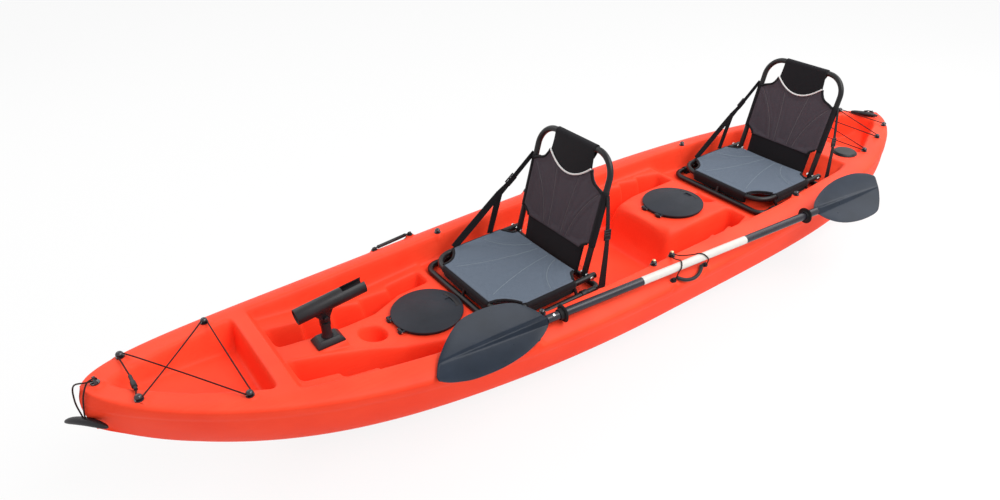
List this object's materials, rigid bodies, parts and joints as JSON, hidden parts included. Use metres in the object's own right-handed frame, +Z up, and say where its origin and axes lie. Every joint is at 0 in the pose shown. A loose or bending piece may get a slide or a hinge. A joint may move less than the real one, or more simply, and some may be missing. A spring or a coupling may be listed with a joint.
{
  "type": "tandem sit-on-top kayak",
  "caption": "Moulded sit-on-top tandem kayak with folding frame seats, hinged deck hatches, rod holders, lashed wells, carrying handles and a stowed jointed paddle.",
  "frame": {"origin": "on the flat of the keel, amidships, where the boat stands on the ground", "axes": "+X to the stern, +Y to starboard (the far side in the picture), +Z up"},
  "size_m": [3.7565, 1.0221, 0.7313],
  "materials": {
    "fabric_seat": "woven polyester, matt",
    "fabric_back": "woven polyester, matt",
    "webbing": "woven webbing",
    "orange_shell": "rotomoulded polyethylene, satin",
    "black_plastic": "moulded nylon, satin",
    "lid_plastic": "moulded polypropylene, fine grain",
    "blade_plastic": "glass-filled nylon, semi-gloss",
    "seat_tube": "black powder coat",
    "shaft_black": "dark anodised",
    "shaft_white": "white sleeve",
    "steel": "stainless",
    "cord": "elastic cord, braided cover",
    "rubber": "soft rubber"
  },
  "bodies": {
    "hull": {"hull_shell": "orange_shell", "bow_eyelets": "black_plastic", "gunwale_eyelets": "black_plastic", "stern_eyelets": "black_plastic", "bow_bungee": "cord", "bungee_hook": "black_plastic", "stern_bungee": "cord", "paddle_keeper": "cord", "handle_anchors": "black_plastic", "hatch_rims": "black_plastic", "hatch_gaskets": "rubber", "hatch_hinge_pins": "steel", "rod_base": "black_plastic", "flush_rod_holders": "black_plastic", "seat_feet": "black_plastic", "front_seat_base": "seat_tube", "front_seat_frame": "seat_tube", "front_seat_hinge_bolts": "steel", "front_seat_sling": "fabric_seat", "front_seat_straps": "webbing", "rear_seat_base": "seat_tube", "rear_seat_frame": "seat_tube", "rear_seat_hinge_bolts": "steel", "rear_seat_sling": "fabric_seat", "rear_seat_straps": "webbing"},
    "front_back": {"front_back_frame": "seat_tube", "front_back_sling": "fabric_back", "front_headrest": "webbing"},
    "rear_back": {"rear_back_frame": "seat_tube", "rear_back_sling": "fabric_back", "rear_headrest": "webbing"},
    "front_lid": {"front_hatch_lid": "lid_plastic"},
    "front_latch": {"front_hatch_latch": "black_plastic"},
    "rear_lid": {"rear_hatch_lid": "lid_plastic"},
    "rear_latch": {"rear_hatch_latch": "black_plastic"},
    "rod_swivel": {"rod_post": "black_plastic", "rod_tilt_bolt": "black_plastic"},
    "rod_tube": {"rod_cradle": "black_plastic"},
    "port_front_handle": {"port_front_grip": "black_plastic"},
    "port_rear_handle": {"port_rear_grip": "black_plastic"},
    "starboard_front_handle": {"starboard_front_grip": "black_plastic"},
    "starboard_rear_handle": {"starboard_rear_grip": "black_plastic"},
    "bow_pull": {"bow_toggle": "black_plastic", "bow_toggle_cord": "cord"},
    "stern_pull": {"stern_toggle": "black_plastic", "stern_toggle_cord": "cord"},
    "port_cap": {"port_rod_cap": "black_plastic"},
    "starboard_cap": {"starboard_rod_cap": "black_plastic"},
    "plug": {"drain_plug": "black_plastic"},
    "paddle_front": {"paddle_front_blade": "blade_plastic", "paddle_front_shaft": "shaft_black", "paddle_sleeve": "shaft_white", "paddle_front_drip_ring": "rubber"},
    "paddle_rear": {"paddle_rear_shaft": "shaft_black", "paddle_rear_blade": "blade_plastic", "paddle_rear_drip_ring": "rubber"},
    "paddle_button": {"paddle_snap_button": "steel"}
  },
  "joints": [
    {"name": "front_back_fold", "type": "hinge", "parent": "hull", "child": "front_back", "pos_m": [-0.301, 0, 0.305], "axis": [0, -1, 0], "range_deg": [0, 75], "deforming": ["front_seat_straps"]},
    {"name": "rear_back_fold", "type": "hinge", "parent": "hull", "child": "rear_back", "pos_m": [1.024, 0, 0.279], "axis": [0, -1, 0], "range_deg": [0, 75], "deforming": ["rear_seat_straps"]},
    {"name": "front_lid_hinge", "type": "hinge", "parent": "hull", "child": "front_lid", "pos_m": [-0.9615, 0, 0.27], "axis": [0, -1, 0], "range_deg": [0, 100]},
    {"name": "front_latch_lift", "type": "hinge", "parent": "front_lid", "child": "front_latch", "pos_m": [-0.72183, 0, 0.277], "axis": [0, 1, 0], "range_deg": [0, 60]},
    {"name": "rear_lid_hinge", "type": "hinge", "parent": "hull", "child": "rear_lid", "pos_m": [0.2285, 0, 0.286], "axis": [0, -1, 0], "range_deg": [0, 100]},
    {"name": "rear_latch_lift", "type": "hinge", "parent": "rear_lid", "child": "rear_latch", "pos_m": [0.46817, 0, 0.293], "axis": [0, 1, 0], "range_deg": [0, 60]},
    {"name": "rod_swivel", "type": "hinge", "parent": "hull", "child": "rod_swivel", "pos_m": [-1.19, 0, 0.34101], "axis": [0, 0, 1], "range_deg": [-170, 170]},
    {"name": "rod_tilt", "type": "hinge", "parent": "rod_swivel", "child": "rod_tube", "pos_m": [-1.19, 0, 0.41501], "axis": [0, 1, 0], "range_deg": [-50, 35]},
    {"name": "port_front_handle_swing", "type": "hinge", "parent": "hull", "child": "port_front_handle", "pos_m": [-0.752, -0.38316, 0.33004], "axis": [-0.9947, 0.1025, 0], "range_deg": [-5, 14]},
    {"name": "port_rear_handle_swing", "type": "hinge", "parent": "hull", "child": "port_rear_handle", "pos_m": [-0.014, -0.41586, 0.31795], "axis": [-1, 0.0012, 0], "range_deg": [-8, 90]},
    {"name": "starboard_front_handle_swing", "type": "hinge", "parent": "hull", "child": "starboard_front_handle", "pos_m": [-0.752, 0.38316, 0.33004], "axis": [0.9947, 0.1025, 0], "range_deg": [-5, 112]},
    {"name": "starboard_rear_handle_swing", "type": "hinge", "parent": "hull", "child": "starboard_rear_handle", "pos_m": [-0.014, 0.41586, 0.31795], "axis": [1, 0.0012, 0], "range_deg": [-8, 112]},
    {"name": "bow_pull_swing", "type": "hinge", "parent": "hull", "child": "bow_pull", "pos_m": [-1.814, 0, 0.50241], "axis": [0, 1, 0], "range_deg": [0, 100]},
    {"name": "stern_pull_swing", "type": "hinge", "parent": "hull", "child": "stern_pull", "pos_m": [1.8, 0, 0.32078], "axis": [0, 1, 0], "range_deg": [0, 140]},
    {"name": "port_cap_lift", "type": "slide", "parent": "hull", "child": "port_cap", "axis": [0, 0, 1], "range_m": [0, 0.06]},
    {"name": "starboard_cap_lift", "type": "slide", "parent": "hull", "child": "starboard_cap", "axis": [0, 0, 1], "range_m": [0, 0.06]},
    {"name": "plug_pull", "type": "slide", "parent": "hull", "child": "plug", "axis": [1, 0, 0], "range_m": [0, 0.03]},
    {"name": "paddle_lift", "type": "slide", "parent": "hull", "child": "paddle_front", "axis": [0, 0, 1], "range_m": [0, 0.25], "deforming": ["paddle_keeper"]},
    {"name": "paddle_feather", "type": "hinge", "parent": "paddle_front", "child": "paddle_rear", "pos_m": [0.008, -0.417, 0.358], "axis": [0.9968, -0.0802, 0], "range_deg": [0, 60]},
    {"name": "paddle_button_press", "type": "slide", "parent": "paddle_front", "child": "paddle_button", "axis": [-0.0377, -0.468, 0.8829], "range_m": [-0.003, 0], "stiffness_N_per_m": 300}
  ]
}
